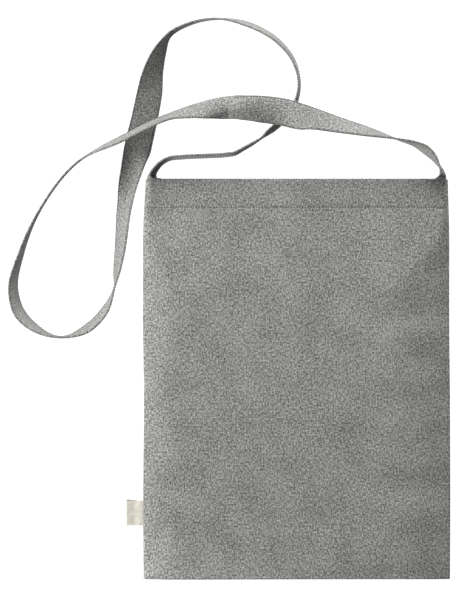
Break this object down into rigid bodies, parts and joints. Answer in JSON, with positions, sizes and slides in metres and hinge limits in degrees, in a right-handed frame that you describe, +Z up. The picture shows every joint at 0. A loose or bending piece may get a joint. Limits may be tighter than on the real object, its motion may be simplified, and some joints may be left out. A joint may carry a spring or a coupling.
{
  "type": "shoulder shopping bag",
  "caption": "Flat cotton shopping bag in grey melange cloth, lying on its back, with a turned hem at the mouth, a long shoulder strap laid in loops and a small cream side tag.",
  "frame": {"origin": "the middle of the back panel's outer face, on the surface that the bag lies on", "axes": "+X to the right and +Y towards the mouth as the bag is seen from above, +Z up from the surface"},
  "size_m": [0.4623, 0.5881, 0.0433],
  "materials": {
    "bag_cloth": "matte plain weave, grey melange",
    "strap_cloth": "matte plain weave, grey melange",
    "label_cloth": "cream woven tape, soft sheen"
  },
  "bodies": {
    "root": {"front_panel": "bag_cloth", "back_panel": "bag_cloth", "strap": "strap_cloth", "side_label": "label_cloth"}
  },
  "joints": []
}
